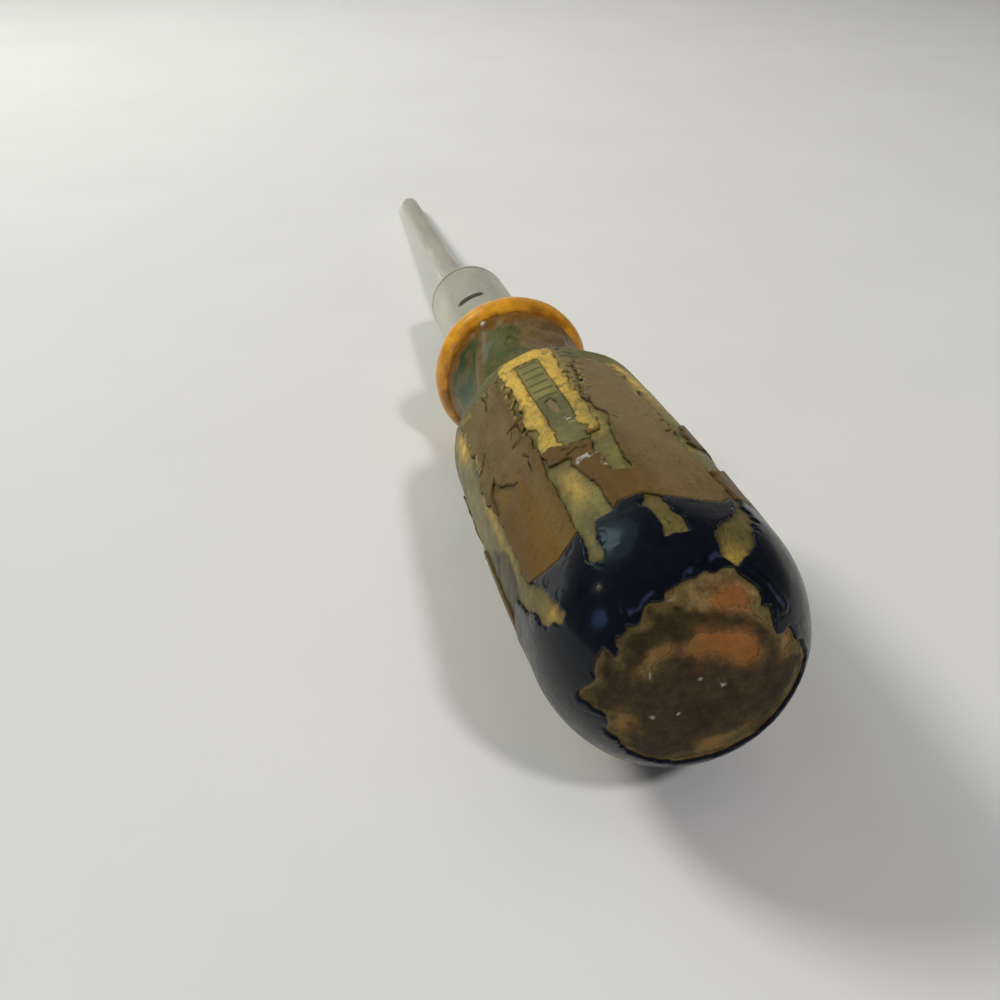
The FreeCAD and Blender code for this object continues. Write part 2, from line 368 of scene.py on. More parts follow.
# Chips in the navy coat, and then the edges of the brown films and the label, as (angle, x)
BUTT_CHIPS = {
    "left": [(-62, 7.4), (-66, 7.0), (-72, 8.5), (-76, 11), (-79, 14), (-81.5, 17.6), (-78, 18.9),
             (-73, 19.2), (-70, 17), (-68, 15.6), (-65, 12.6), (-62, 9.4)],
    "strip": [(-39, 9.0), (-36, 8.6), (-34.5, 10.2), (-32.5, 12.8), (-29, 15), (-39, 15)],
    "centre": [(-11, 7.5), (-0.5, 7.6), (-1.5, 9), (-3, 11), (-2, 13.6), (-4, 16), (-9.5, 16),
               (-11.2, 13), (-9.8, 11), (-9, 9)],
    "right": [(8, 5.1), (10, 4.2), (16, 3.9), (21, 4.6), (25, 5.9), (30, 7.5), (34, 9.6),
              (33.5, 13), (32, 16), (29, 14.2), (24, 11.6), (18, 9.4), (12, 8.2), (9, 6.6)],
    "under": [(128, 9), (140, 8), (149, 10.5), (146, 14), (137, 15), (130, 12.5)],
    "far": [(-163, 11.5), (-150, 10), (-143, 13.2), (-149, 18), (-160, 17)],
    "back": [(72, 10.5), (82, 9.2), (88, 12), (84, 17), (75, 17.5)],
}
FILM_NEAR = [
    (-71, 12.5), (-39, 12.5), (-38.7, 20), (-38.4, 27), (-36.8, 31), (-37.6, 36), (-36.5, 38.5),
    (-35, 41), (-36, 44), (-35, 50), (-36.6, 56), (-40, 57.6), (-46, 56.4), (-55, 58.2),
    (-62, 57.6), (-69, 58.2), (-71.6, 53), (-72, 48), (-74, 43), (-73.5, 38), (-72, 33),
    (-71.5, 25), (-71.8, 19),
]
FILM_NEAR_CHIP = [(-71.4, 31.4), (-66, 30.6), (-60, 31), (-55.2, 32), (-60, 34.4), (-64.4, 35.8),
                  (-66, 38), (-70.6, 36.4)]
FILM_TOP = [
    (-5, 11), (30, 11), (29.4, 20), (28.2, 30), (29, 38), (29.6, 45), (28.4, 52), (25, 55),
    (20, 56.1), (14, 56.3), (8, 55.5), (4, 54), (1.5, 52), (0.4, 49), (-0.6, 46), (-4, 45),
    (-6, 43), (-5, 39.6), (-3, 37), (0.5, 35), (-1, 33), (-4, 30), (-5.5, 27), (-6, 20),
]
FILM_ON_LABEL = [
    (-23, 12), (-22, 19), (-24.4, 22), (-26.4, 25), (-27, 27.4), (-36, 28), (-37, 31), (-30, 31.6),
    (-26, 30.2), (-20, 29.6), (-15.6, 29), (-15, 24), (-14, 21), (-8.4, 20.5), (-4, 21), (-4, 12),
]
FILM_LEFT_LOBE = [(-112, 16), (-83, 16), (-77, 20), (-75.6, 23.6), (-80, 26.5), (-86, 29.8),
                  (-95, 33), (-101, 36.5), (-112, 39)]
FILM_RIGHT_LOBES = [
    [(31, 13), (31, 21.6), (36, 22.8), (44, 24.6), (50, 27), (60, 30), (72, 31), (72, 13)],
    [(31, 29.6), (34, 30.4), (36.6, 33), (39.6, 35.8), (46, 38.4), (58, 41), (72, 42), (72, 34),
     (56, 33), (44, 30.5), (36, 28.6)],
]
LABEL_OUTER = [
    (-36.6, 31), (-31.6, 30.6), (-29.5, 30), (-13.5, 30.2), (-8.2, 31), (-7.4, 35), (-6.4, 40),
    (-7, 45), (-6.4, 50), (-4.8, 54), (-4.6, 58.8), (-20, 59.4), (-36, 58.6), (-35.6, 53),
    (-33.8, 50), (-33.2, 46), (-34, 43), (-37, 42.3), (-36.6, 38.2), (-33, 37), (-32.2, 35.6),
    (-36, 34.6),
]
PANEL = [(-26.4, 29.6), (-13.6, 29.6), (-13.6, 56), (-26.4, 56)]
PANEL_ISLAND = [(-21, 38), (-18.4, 38.6), (-17.8, 41), (-19.4, 42.8), (-22.6, 42.4), (-22.4, 40)]
LABEL_ANGLE = -20
BAR_COUNT, BAR_START, BAR_PITCH, BAR_WIDTH, BAR_HALF_LENGTH = 6, 43.6, 2.3, 0.55, 1.35
# A pale stretch of primer, and the places where the core shows through it, as (side, up)
PALE_LOBE = [
    (-4.2, 10.6), (-2.4, 10.2), (-1.0, 9.6), (0.4, 9.4), (2.4, 9.2), (4.6, 9.4), (6.0, 10.2),
    (5.6, 12.6), (3, 14.5), (-1, 14.5), (-4, 13),
]
CORE_PATCHES = [
    [(0.2, 10.2), (0.9, 11.9), (2.2, 12.2), (3.6, 11.4), (3.7, 10.2), (2.4, 9.8)],
    [(-2.1, 5.6), (-1.2, 7.5), (0.8, 7.1), (3.0, 6.3), (5.2, 5.1), (5.0, 3.4), (4.2, 2.6),
     (3.0, 3.1), (1.6, 4.3), (0.0, 4.5), (-1.4, 4.8)],
    [(-6.9, 3.5), (-6.6, 4.7), (-5.5, 5.6), (-4.4, 5.9), (-5.1, 4.9), (-5.6, 3.6)],
    [(-9.8, -3.0), (-9.2, -1.9), (-8.3, -2.6), (-8.0, -4.0), (-8.9, -4.8)],
    [(0.1, -8.0), (0.8, -6.9), (3.0, -6.2), (4.7, -6.0), (3.7, -7.6), (1.5, -8.4)],
    [(8.1, 3.4), (8.3, 5.2), (8.9, 5.7), (9.3, 4.4), (8.9, 3.0)],
]

HIDDEN_FILM_END_X = 57.0
BARE_BUTT_END = 20  # length along the grip up to which the core may show scraped plastic
PRIMER_BUTT_END = 14.4  # length along the grip at which the butt's piece of primer ends
WHOLE = 5.0  # depth given to points of a film that are far from its edges


def everywhere(spot):
    return np.full(len(spot.s), WHOLE)


def dip_edge(spot):
    return np.interp(spot.angle, *zip(*DIP_EDGE)) + 0.25 * spot.noise(6.0, 11)


def worn_butt(spot):
    return butt_patch(spot, WORN_BUTT) + ragged(spot, 0.5, 21) + 0.35 * spot.noise(1.05, 27)


def navy_depth(spot):
    chips = [patch(spot, c) + ragged(spot, 0.5, 31) for c in BUTT_CHIPS.values()]
    return less(dip_edge(spot) - spot.x, worn_butt(spot), *chips)


def flute_depth(spot, index):
    """Depth inside the brown film that is left in one flat."""
    torn = ragged(spot, 1.0, 41 + index) * (0.34 + 0.38 * soft(spot.x, 28, 35))
    if index == TOP_FLAT:
        shape = union(patch(spot, FILM_TOP), patch(spot, FILM_ON_LABEL))
    elif index == NEAR_FLAT:
        shape = less(patch(spot, FILM_NEAR), patch(spot, FILM_NEAR_CHIP) + torn)
    else:
        across = spot.from_angle(flat_angle(index))
        side = FLAT_HALF_ANGLE * MM_PER_DEGREE - np.abs(across)
        end = HIDDEN_FILM_END_X - spot.x - 0.06 * across ** 2
        lobes = {RIGHT_FLAT: FILM_RIGHT_LOBES, LEFT_FLAT: [FILM_LEFT_LOBE]}.get(index, [])
        shape = np.minimum(side, end) + 0.5 * spot.noise(5.0, 51)
        shape = union(shape, *[patch(spot, lobe) for lobe in lobes])
    return np.minimum(shape + torn, spot.x - dip_edge(spot))


def panel_outline(spot):
    """Depth inside the panel, whose edge is clean at the top and worn towards its foot."""
    worn = 0.12 + 0.40 * soft(-spot.x, -41, -34)
    return patch(spot, PANEL) + worn * ragged(spot, 1.0, 61)


def panel_depth(spot):
    return less(panel_outline(spot), patch(spot, PANEL_ISLAND) + ragged(spot, 0.15, 62))


def border_depth(spot):
    return less(patch(spot, LABEL_OUTER) + ragged(spot, 0.38, 63), panel_outline(spot))


def primer_depth(spot):
    bare = [butt_patch(spot, c) + ragged(spot, 0.65, 71) for c in CORE_PATCHES]
    return less(np.minimum(WHOLE, PRIMER_BUTT_END - spot.s), *bare)


def undercoat_depth(spot):
    return -(worn_butt(spot) - 0.35 - 0.3 * spot.noise(1.5, 73))


# --- Films: closed thin solids cut out of a grid on the surface ---
NEAREST_DEPTH = 0.02  # a cut never passes nearer a grid corner than this depth


def clipped_grid(depth, wrap):
    """Cells of a grid of depths, cut along the line where the depth is nought.

    Returns for each vertex its two grid corners and the share between them, and the polygons."""
    rows, columns = depth.shape
    total = rows * columns
    pushed = np.where(depth < 0, -NEAREST_DEPTH, NEAREST_DEPTH)
    flat = np.where(np.abs(depth) < NEAREST_DEPTH, pushed, depth).ravel()
    corner = np.arange(total).reshape(rows, columns)
    right = np.roll(corner, -1, 1)
    cell_columns = columns if wrap else columns - 1

    def low(numbers):
        return numbers[:-1, :cell_columns].ravel()

    def high(numbers):
        return numbers[1:, :cell_columns].ravel()

    # A corner's own number is also its vertex. A cut on the edge to its right has `total` more,
    # and one on the edge to the next row twice `total` more.
    corners = [low(corner), low(right), high(right), high(corner)]
    edges = [low(corner) + total, low(right) + 2 * total, high(corner) + total, low(corner) + 2 * total]
    inside = [flat[k] > 0 for k in corners]
    case = sum(inside[k].astype(int) << k for k in range(4))
    polygons = []
    for kind in range(1, 16):
        cells = np.nonzero(case == kind)[0]
        if not len(cells):
            continue
        loop = []
        for k in range(4):
            here, after = kind >> k & 1, kind >> (k + 1) % 4 & 1
            if here:
                loop.append(corners[k][cells])
            if here != after:
                loop.append(edges[k][cells])
        polygons.append(np.stack(loop, 1))
    used = np.unique(np.concatenate([p.ravel() for p in polygons]))
    fresh = np.full(3 * total, -1)
    fresh[used] = np.arange(len(used))

    way, base = used // total, used % total
    other = np.where(way == 1, right.ravel()[base], base)
    other = np.where(way == 2, np.minimum(base + columns, total - 1), other)
    here, there = flat[base], flat[other]
    share = np.where(way > 0, here / np.where(way > 0, here - there, 1.0), 0.0)
    return base, other, share, [fresh[p] for p in polygons]


def polar_grid(s_start, s_end, step, angles):
    return np.meshgrid(np.arange(s_start, s_end + step / 2, step), angles, indexing="ij")


def square_grid(half, step):
    """A grid over the butt's end, given as s and angle."""
    line = np.arange(-half, half + step / 2, step)
    side, up = np.meshgrid(line, line)
    return np.hypot(side, up), np.degrees(np.arctan2(side, up))


def solid_film(name, outline, surface, grid, wrap, depth_of, shape_of, colour_of):
    """A closed film: its top and its underside follow shape_of, and its rim joins them."""
    s, angle = (values.ravel() for values in grid)
    depth = depth_of(Spot(outline, s, angle))
    base, other, share, polygons = clipped_grid(depth.reshape(grid[0].shape), wrap)
    turn = np.radians(angle)
    side, up = s * np.sin(turn), s * np.cos(turn)
    side = side[base] * (1 - share) + side[other] * share
    up = up[base] * (1 - share) + up[other] * share
    spot = Spot(outline, np.hypot(side, up), np.degrees(np.arctan2(side, up)))
    inner = depth[base] * (1 - share) + depth[other] * share
    edge = np.maximum(np.where(share > 0, 0, inner), 0)

    top, bottom = shape_of(spot, edge)
    points = np.concatenate([
        place(*surface(spot.s, spot.angle, height), spot.angle) for height in (top, bottom)
    ])
    count = len(spot.s)
    heads = np.concatenate([p.ravel() for p in polygons])
    tails = np.concatenate([np.roll(p, -1, 1).ravel() for p in polygons])
    rim = ~np.isin(heads * np.int64(count) + tails, tails * np.int64(count) + heads)
    heads, tails = heads[rim], tails[rim]
    walls = np.stack([tails, heads, heads + count, tails + count], 1)
    groups = polygons + [p[:, ::-1] + count for p in polygons] + [walls]
    faces = [face for group in groups for face in group.tolist()]

    mesh = bpy.data.meshes.new(name)
    mesh.from_pydata(points.tolist(), [], faces)
    return finished_piece(name, mesh, np.concatenate([colour_of(spot, edge)] * 2))


def finished_piece(name, mesh, colour, gloss=1.0):
    """Links a closed mesh, with its faces outwards, and the paint's colour and gloss on its vertices."""
    values = np.column_stack([unit(colour), np.broadcast_to(gloss, len(colour))])
    attribute = mesh.color_attributes.new("paint", "FLOAT_COLOR", "POINT")
    attribute.data.foreach_set("color", values.astype(np.float32).ravel())
    mesh.polygons.foreach_set("use_smooth", np.ones(len(mesh.polygons), bool))
    mesh.set_sharp_from_angle(angle=math.radians(SHARP_ANGLE))
    turn_outwards(mesh)
    return linked(name, mesh)


def turn_outwards(mesh):
    """Turns a closed mesh's faces outwards if they point in."""
    co = np.empty(len(mesh.vertices) * 3)
    mesh.vertices.foreach_get("co", co)
    co = co.reshape(-1, 3) - co.reshape(-1, 3).mean(0)
    mesh.calc_loop_triangles()
    tri = np.empty(len(mesh.loop_triangles) * 3, int)
    mesh.loop_triangles.foreach_get("vertices", tri)
    t = co[tri.reshape(-1, 3)]
    if np.einsum("ij,ij->i", t[:, 0], np.cross(t[:, 1], t[:, 2])).sum() < 0:
        mesh.flip_normals()


def rounded_edge(edge, width=0.22):
    """Share of a film's thickness near its rim: a small wall, then a rounded lip."""
    t = unit(edge / width)
    return 0.5 + 0.5 * np.sqrt(1 - (1 - t) ** 2)


# --- Colours of the coats, in linear light ---
BROWN = np.array([0.165, 0.090, 0.018])
BROWN_DARK = np.array([0.095, 0.052, 0.015])
BROWN_AMBER = np.array([0.158, 0.078, 0.000])
CHIP_BROWN = np.array([0.120, 0.084, 0.026])
# BROWN_GREY is the films' taupe-grey, partly a painted sheen, and also the brown-grey of some bits of
# undercoat
BROWN_GREY = np.array([0.215, 0.150, 0.072])
# BROWN_KHAKI_SHEEN is the near film's khaki-grey, a painted sheen
BROWN_KHAKI_SHEEN = np.array([0.160, 0.104, 0.030])
OLIVE = np.array([0.215, 0.175, 0.055])
OLIVE_DARK = np.array([0.085, 0.070, 0.026])
OLIVE_GREEN = np.array([0.115, 0.112, 0.035])
YELLOW = np.array([0.730, 0.465, 0.085])
YELLOW_DULL = np.array([0.380, 0.265, 0.065])
NAVY = np.array([0.0032, 0.0046, 0.0090])
NAVY_THIN = np.array([0.020, 0.021, 0.019])
# NAVY_EDGE_HIGHLIGHT and NAVY_FLAKE_GLINT are painted highlights: bluish light along the navy coat's broken
# edge and on its lifted flakes
NAVY_EDGE_HIGHLIGHT = np.array([0.020, 0.024, 0.050])
NAVY_FLAKE_GLINT = np.array([0.050, 0.060, 0.13])
KHAKI = np.array([0.0365, 0.0262, 0.0110])
KHAKI_LIGHT = np.array([0.235, 0.160, 0.062])
AMBER = np.array([0.780, 0.350, 0.022])
AMBER_DARK = np.array([0.360, 0.135, 0.012])
ORANGE = np.array([0.330, 0.135, 0.042])
PANEL_GREEN = np.array([0.250, 0.205, 0.062])
PANEL_DARK = np.array([0.118, 0.104, 0.040])
BAR_GREEN = np.array([0.085, 0.090, 0.028])
GREEN = np.array([0.062, 0.080, 0.024])
GREEN_DARK = np.array([0.028, 0.042, 0.018])
TEAL = np.array([0.020, 0.058, 0.026])
NECK_BROWN = np.array([0.175, 0.112, 0.045])
# GRIME_AND_SHADE is real dirt, and also painted shade along the films' rims, in the crevices beside them and
# on the nose under the ferrule
GRIME_AND_SHADE = np.array([0.022, 0.015, 0.008])
# WHITE is the white of old paint specks, and on the neck a painted highlight
WHITE = np.array([0.66, 0.64, 0.58])
FLECK_WHITE = np.array([0.42, 0.40, 0.34])


def layered(spot, ground, *layers):
    """A ground colour under layers that are each (colour, share), with the last one on top."""
    colour = np.repeat(ground[None, :], len(spot.s), 0)
    for other, share in layers:
        share = unit(share * 1.0)[:, None]
        colour = colour * (1 - share) + other * share
    return colour


# --- Marks in the coats ---
# Cracks in the brown films and marks on them, as lines of (angle, x)
NEAR_CRACKS = [
    [(-54, 31.8), (-57, 32.6), (-60, 34.2), (-64, 35.4), (-71, 35.6)],
    [(-63.5, 35.8), (-65.2, 38)],
    [(-46, 39), (-44, 37.8), (-40.4, 38), (-38.6, 39.8), (-40, 41.4), (-44, 41.6), (-46, 40.4)],
    [(-46.5, 42.4), (-42, 41.8), (-37, 42.2), (-34.5, 41.6)],
    [(-71, 42.5), (-67, 43.2), (-65.5, 44.6)],
    [(-50, 57), (-49, 54.5), (-51, 52.5)],
    [(-44.5, 30.5), (-42.2, 32.5), (-43.2, 35)],
]
TOP_CRACKS = [
    [(-5.2, 38.5), (-3, 39.8), (-5.4, 42)],
    [(-5, 44.6), (-1, 43.4), (1.4, 43.6)],
    [(-3, 48.2), (0.8, 47.2), (3, 47.6)],
    [(0, 51.6), (3.4, 50.4), (6, 50.6)],
    [(2.4, 55), (5.6, 53.2), (7.4, 53)],
    [(0, 35.4), (2.6, 33.6)],
    [(23.5, 31.4), (27.6, 32.2)],
    [(26.4, 35), (29.4, 35.6)],
    [(-33.5, 26.5), (-29, 26.2), (-26, 26.8)],
    [(-27, 27.8), (-22, 28.4), (-17, 28)],
    [(-27.5, 29.6), (-23.6, 29.2)],
]
SHALLOW_MARKS = [
    [(4, 24), (12, 20.5), (20, 19.2)],
    [(8, 27.5), (16, 24.2), (25, 22.8)],
    [(18, 33), (24, 30)],
    [(11, 48), (12.4, 47.4)],
]
FILM_CRACKS = {TOP_FLAT: TOP_CRACKS, NEAR_FLAT: NEAR_CRACKS}
# Clusters of chipped white specks, as (angle, x, half angle, half length)
WHITE_CLUSTERS = [
    (-21, 25.2, 5.0, 1.4), (-14.5, 24.2, 2.6, 2.2), (-18, 35.0, 4.6, 1.5), (-38.4, 38.2, 0.9, 0.4),
]
# Where the undercoat is yellow, as (strength, angle, x, half angle, half length)
YELLOW_BLOBS = [
    (1.0, -76, 54, 5, 5), (0.8, -80, 57, 9, 2.6), (0.55, -76, 31, 2.4, 9), (0.5, -68, 9, 5, 2.2),
    (0.7, 20, 4.6, 12, 1.2), (0.60, -31, 22, 4, 3.4), (0.75, 36, 48, 7, 8), (0.9, 31, 54, 5, 4),
    (0.5, 105, 45, 8, 9), (0.5, 195, 50, 7, 7),
]
# Brown runs down the neck's glaze, as lines of (angle, x)
NECK_RUN_WIDTH = 2.2
NECK_RUNS = [
    [(-28, 86.2), (-32, 84), (-39, 81.6), (-50, 78.4), (-62, 75)],
    [(-4, 84.6), (8, 81.6), (24, 80.4), (42, 82.4)],
    [(-10, 84.8), (4, 85.2), (20, 84.2), (36, 85.4)],
    [(96, 74), (104, 80), (101, 86)],
    [(160, 75), (152, 81), (158, 86)],
    [(-140, 74), (-133, 80), (-137, 86)],
]
# Marks on the butt's end, as lines of (side, up)
LIFTED_NAVY = [
    [(-4.6, 12.3), (-2.2, 13.9), (0.4, 14.8), (2.8, 15.1), (4.6, 14.0), (5.6, 12.9)],
    [(-8.2, 9.9), (-6.2, 11.6), (-4.8, 12.2)],
    [(6.0, 12.6), (7.6, 10.6), (8.4, 8.6)],
]
WHITE_FLECKS = [
    [(-6.2, 3.4), (-5.9, 2.5)], [(-1.0, 1.9), (-0.5, 1.6)], [(1.5, 0.7), (2.1, 0.5)],
    [(-5.6, -2.3), (-5.3, -2.6)], [(-3.1, -2.9), (-2.4, -2.6)], [(-4.0, 11.0), (-3.6, 11.2)],
]


# --- Heights and colours of the coats ---
# A shape function gives the heights of a film's top and underside at each point. A colour
# function gives its colour. `edge` is the distance in millimetres from the film's rim.
def topcoat_shape(spot, edge, seed, lip, swell=0.05, ripple=0.02):
    """A thick film: gently uneven, with a lip that lifts here and there along its rim."""
    wave = swell * spot.noise(3.6, seed) + ripple * spot.noise(1.0, seed + 1)
    curl = lip * np.exp(-edge / 0.5) * np.clip(0.3 + spot.noise(2.2, seed + 2), 0, 1.2)
    top = -UNDERCOAT_DEPTH + (UNDERCOAT_DEPTH + wave + curl) * rounded_edge(edge)
    return top, -UNDERCOAT_DEPTH - EMBED


def white_specks(spot):
    """Curled specks of an old white coat in a few places: 1 on a speck, 0 away from it."""
    near = np.zeros(len(spot.s))
    for cluster in WHITE_CLUSTERS:
        near = np.maximum(near, blob(spot, *cluster))
    curls = unit(1 - np.abs(spot.noise(0.95, 281)) * 2.6)
    return curls * soft(near, 0.35, 0.6) * soft(spot.noise(0.7, 283), -0.25, 0.1)


def scored(top, closeness, depth):
    """The film's top, cut down along cracks by up to `depth`."""
    return top - depth * unit(closeness * 1.6)


def navy_shape(spot, edge):
    top, bottom = topcoat_shape(spot, edge, 101, lip=0.08, swell=0.035, ripple=0.006)
    flakes = near_butt_lines(spot, LIFTED_NAVY, 0.5)
    top = scored(top, flakes - 0.35, 0.2) + 0.10 * near_butt_lines(spot, LIFTED_NAVY, 1.1)
    crackle = spot.crease(1.6, 105) * soft(-edge, -2.6, -0.8)
    return top - 0.05 * crackle * (edge > 0.1), bottom


def navy_colour(spot, edge):
    thin = soft(spot.x - dip_edge(spot), -1.6, 0.1)
    flakes = near_butt_lines(spot, LIFTED_NAVY, 0.30) * soft(spot.noise(1.6, 107), -0.3, 0.3)
    return layered(
        spot, NAVY,
        (NAVY_THIN, 0.75 * thin),
        # painted highlight: a bluish line of light along the navy coat's edge
        (NAVY_EDGE_HIGHLIGHT, 0.3 * np.exp(-edge / 0.10)),
        # painted highlight: blue glints along the lifted flakes
        (NAVY_FLAKE_GLINT, 0.7 * flakes),
    )


def wrinkles(spot):
    """Fine wrinkles on one stretch of the near film: 1 along a wrinkle, 0 away from it."""
    here = soft(blob(spot, -64, 40, 9, 8) + 0.3 * spot.noise(1.9, 127), 0.35, 0.6)
    return here * spot.crease(1.5, 128, stretch=1.3)


def film_shape(spot, edge, index):
    cracks = FILM_CRACKS.get(index, [])
    top, bottom = topcoat_shape(spot, edge, 111 + 5 * index, lip=0.09)
    top = scored(top, near_lines(spot, cracks, 0.25), 0.22)
    top += 0.04 * near_lines(spot, cracks, 0.9)
    top += 0.06 * white_specks(spot) - 0.06 * wrinkles(spot)
    top -= 0.03 * near_lines(spot, SHALLOW_MARKS, 0.35)
    return top, bottom


def film_colour(spot, edge, index):
    large = spot.fractal(3.2, 131 + 7 * index, stretch=0.45)
    brushed = spot.noise(0.42, 133, stretch=0.16)
    layers = [(BROWN_DARK, 0.30 + 0.38 * large + 0.16 * brushed)]
    # grey and greyed_and_sheen turn the films taupe-grey: partly the films' own taupe, partly a painted sheen
    # of reflected light
    grey, greyed_and_sheen = BROWN_GREY, soft(spot.x, 29, 38) * 0.7
    # On the near flat, the khaki-grey part at angles above about -48 degrees is a painted sheen, and the part
    # below them is darkened
    if index == NEAR_FLAT:
        across = spot.from_angle(-57)
        mottle = spot.noise(2.2, 175, stretch=0.7)
        layers += [
            (BROWN_AMBER, 0.8 * soft(-spot.x, -34, -26)),
            (BROWN_DARK, 0.45 * soft(-across, -1.5, 3.0)),
            (OLIVE, 0.5 * soft(mottle, 0.05, 0.5) * soft(spot.x, 36, 44)),
            (BROWN_DARK, 0.7 * soft(-mottle, 0.1, 0.6) * soft(spot.x, 22, 30)),
        ]
        grey, greyed_and_sheen = BROWN_KHAKI_SHEEN, np.maximum(greyed_and_sheen, 0.75 * soft(across, 1.2, 3.4))
    if index == TOP_FLAT:
        greyed_and_sheen = 0.75 + 0.25 * greyed_and_sheen
        greyed_and_sheen = greyed_and_sheen * soft(spot.from_angle(-6), -1.5, 1.5) * (0.55 + 0.45 * soft(spot.x, 16, 30))
    side = np.abs(spot.from_angle(flat_angle(index))) / (FLAT_HALF_ANGLE * MM_PER_DEGREE)
    crumbs = spot.noise(0.5, 171) * soft(-edge, -1.5, -0.1) * soft(spot.x, 39, 44)
    # rim carries painted shade and dirt along the film's rim, where it steps down to the coat below; the
    # cracks and wrinkles are darkened along their lines
    rim = np.exp(-edge / 0.10) * (0.6 + 0.6 * spot.noise(1.3, 173))
    cracks = near_lines(spot, FILM_CRACKS.get(index, []), 0.16)
    return layered(
        spot, BROWN, *layers,
        (grey, greyed_and_sheen - 0.12 * brushed - 0.15 * np.abs(large)),
        (BROWN_DARK, 0.35 * soft(side, 0.7, 1.0)),
        (YELLOW_DULL, 1.6 * crumbs),
        (GRIME_AND_SHADE, 1.3 * (-crumbs - 0.2)),
        (GRIME_AND_SHADE, 0.75 * rim),
        (GRIME_AND_SHADE, 0.85 * unit(cracks * 2.0)),
        (GRIME_AND_SHADE, 0.55 * wrinkles(spot)),
        (WHITE, 0.8 * white_specks(spot)),
    )


def border_shape(spot, edge):
    top, bottom = topcoat_shape(spot, edge, 151, lip=0.08)
    return top - 0.05 * spot.crease(1.5, 155) * (edge > 0.08), bottom


def border_colour(spot, edge):
    dull = 0.55 * soft(-spot.x, -45, -38) + 0.25 * spot.fractal(2.0, 157)
    return layered(
        spot, YELLOW,
        (YELLOW_DULL, dull + 0.35 * soft(spot.from_angle(-13), 0, 1)),
        (BROWN, 0.8 * soft(spot.noise(1.4, 159), 0.25, 0.6) * soft(-edge, -1.0, 0)),
        (OLIVE_DARK, 0.55 * spot.crease(1.5, 155)),
        (OLIVE_DARK, np.exp(-edge / 0.45) * (0.40 + 0.4 * spot.noise(1.1, 158))),
        # painted shade and dirt along the border's rim
        (GRIME_AND_SHADE, 0.25 * np.exp(-edge / 0.08)),
    )


def bars(spot):
    """Plain raised bars across the panel: 1 on a bar, 0 between them."""
    place_in_row = (spot.x - BAR_START) / BAR_PITCH
    row = np.round(place_in_row)
    off = np.abs(place_in_row - row) * BAR_PITCH
    within = np.abs(spot.from_angle(LABEL_ANGLE)) < BAR_HALF_LENGTH
    inside = (row >= 0) & (row < BAR_COUNT) & within
    return np.where(inside, unit(1 - (off - BAR_WIDTH / 2) / 0.12), 0)


def panel_shape(spot, edge):
    top, bottom = topcoat_shape(spot, edge, 161, lip=0.03, swell=0.03)
    top += -0.06 + 0.07 * bars(spot)
    return top + 0.06 * white_specks(spot), bottom


def panel_colour(spot, edge):
    light = soft(spot.x, 42, 44.5) * (0.85 + 0.2 * spot.noise(1.8, 163))
    light = light + 0.35 * soft(-spot.x, -37, -33) + 0.15 * spot.noise(0.9, 164)
    return layered(
        spot, PANEL_DARK,
        (PANEL_GREEN, light),
        (BAR_GREEN, 0.85 * bars(spot)),
        (OLIVE_DARK, 0.5 * np.exp(-edge / 0.16)),
        (WHITE, 0.85 * white_specks(spot)),
    )


def undercoat_shape(spot, edge):
    wave = 0.05 * spot.fractal(2.4, 181) + 0.02 * spot.noise(0.8, 187)
    top = -UNDERCOAT_DEPTH + wave - (1 - soft(edge, 0, 1.0)) * 0.16
    return top, -PRIMER_DEPTH - EMBED


